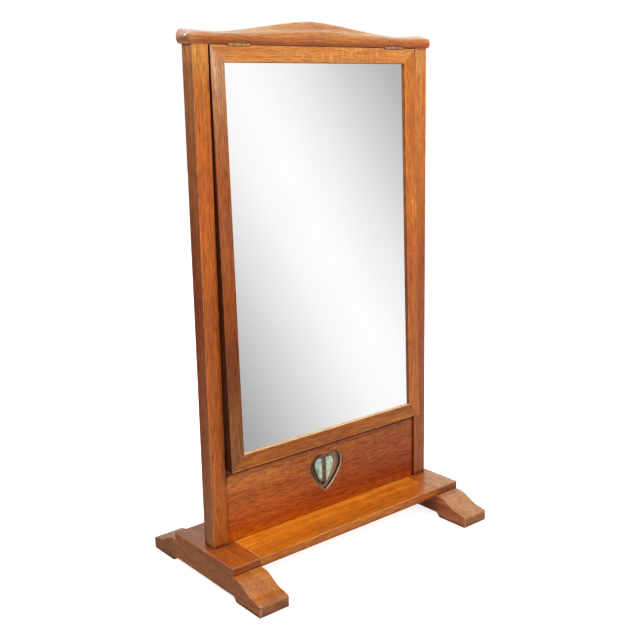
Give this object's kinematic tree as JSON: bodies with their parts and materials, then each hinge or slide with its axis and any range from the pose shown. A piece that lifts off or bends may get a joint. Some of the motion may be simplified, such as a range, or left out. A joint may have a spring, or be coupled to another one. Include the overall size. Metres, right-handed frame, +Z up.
{
  "type": "dressing table mirror",
  "caption": "Free-standing oak dressing table mirror: a framed glass hung from a humped cap rail between posts on sledge feet, with a shelf and a heart plaque.",
  "frame": {"origin": "on the floor plane, at the middle of the footprint, midway between the posts", "axes": "+X to the viewer's right along the shelf, +Y to the back, +Z up"},
  "size_m": [0.405, 0.249, 0.7009],
  "materials": {
    "oak": "waxed, semi-gloss",
    "frame_oak": "waxed, semi-gloss",
    "backing_wood": "bare, dry",
    "plaque_glaze": "gloss glaze",
    "mirror": "silvered",
    "brass": "aged",
    "steel": "dull"
  },
  "bodies": {
    "stand": {"left_foot": "oak", "right_foot": "oak", "shelf": "oak", "left_post": "oak", "right_post": "oak", "cap_rail": "oak", "lower_panel": "oak", "heart_plaque": "plaque_glaze", "plaque_backing": "backing_wood", "plaque_backing_pins": "brass", "post_screws": "steel", "left_hinge_cap_leaf": "brass", "right_hinge_cap_leaf": "brass", "left_hinge_pin": "brass", "right_hinge_pin": "brass", "hinge_cap_screws": "brass"},
    "mirror_frame": {"frame_top_rail": "frame_oak", "frame_bottom_rail": "frame_oak", "frame_left_stile": "frame_oak", "frame_right_stile": "frame_oak", "frame_corner_keys": "frame_oak", "mirror_glass": "mirror", "frame_backboard": "backing_wood", "backboard_sprigs": "steel", "left_hinge_frame_leaf": "brass", "right_hinge_frame_leaf": "brass", "hinge_frame_screws": "brass"}
  },
  "joints": [
    {"name": "mirror_tilt", "type": "hinge", "parent": "stand", "child": "mirror_frame", "pos_m": [0, -0.0112, 0.6693], "axis": [-1, 0, 0], "range_deg": [0, 90]}
  ]
}
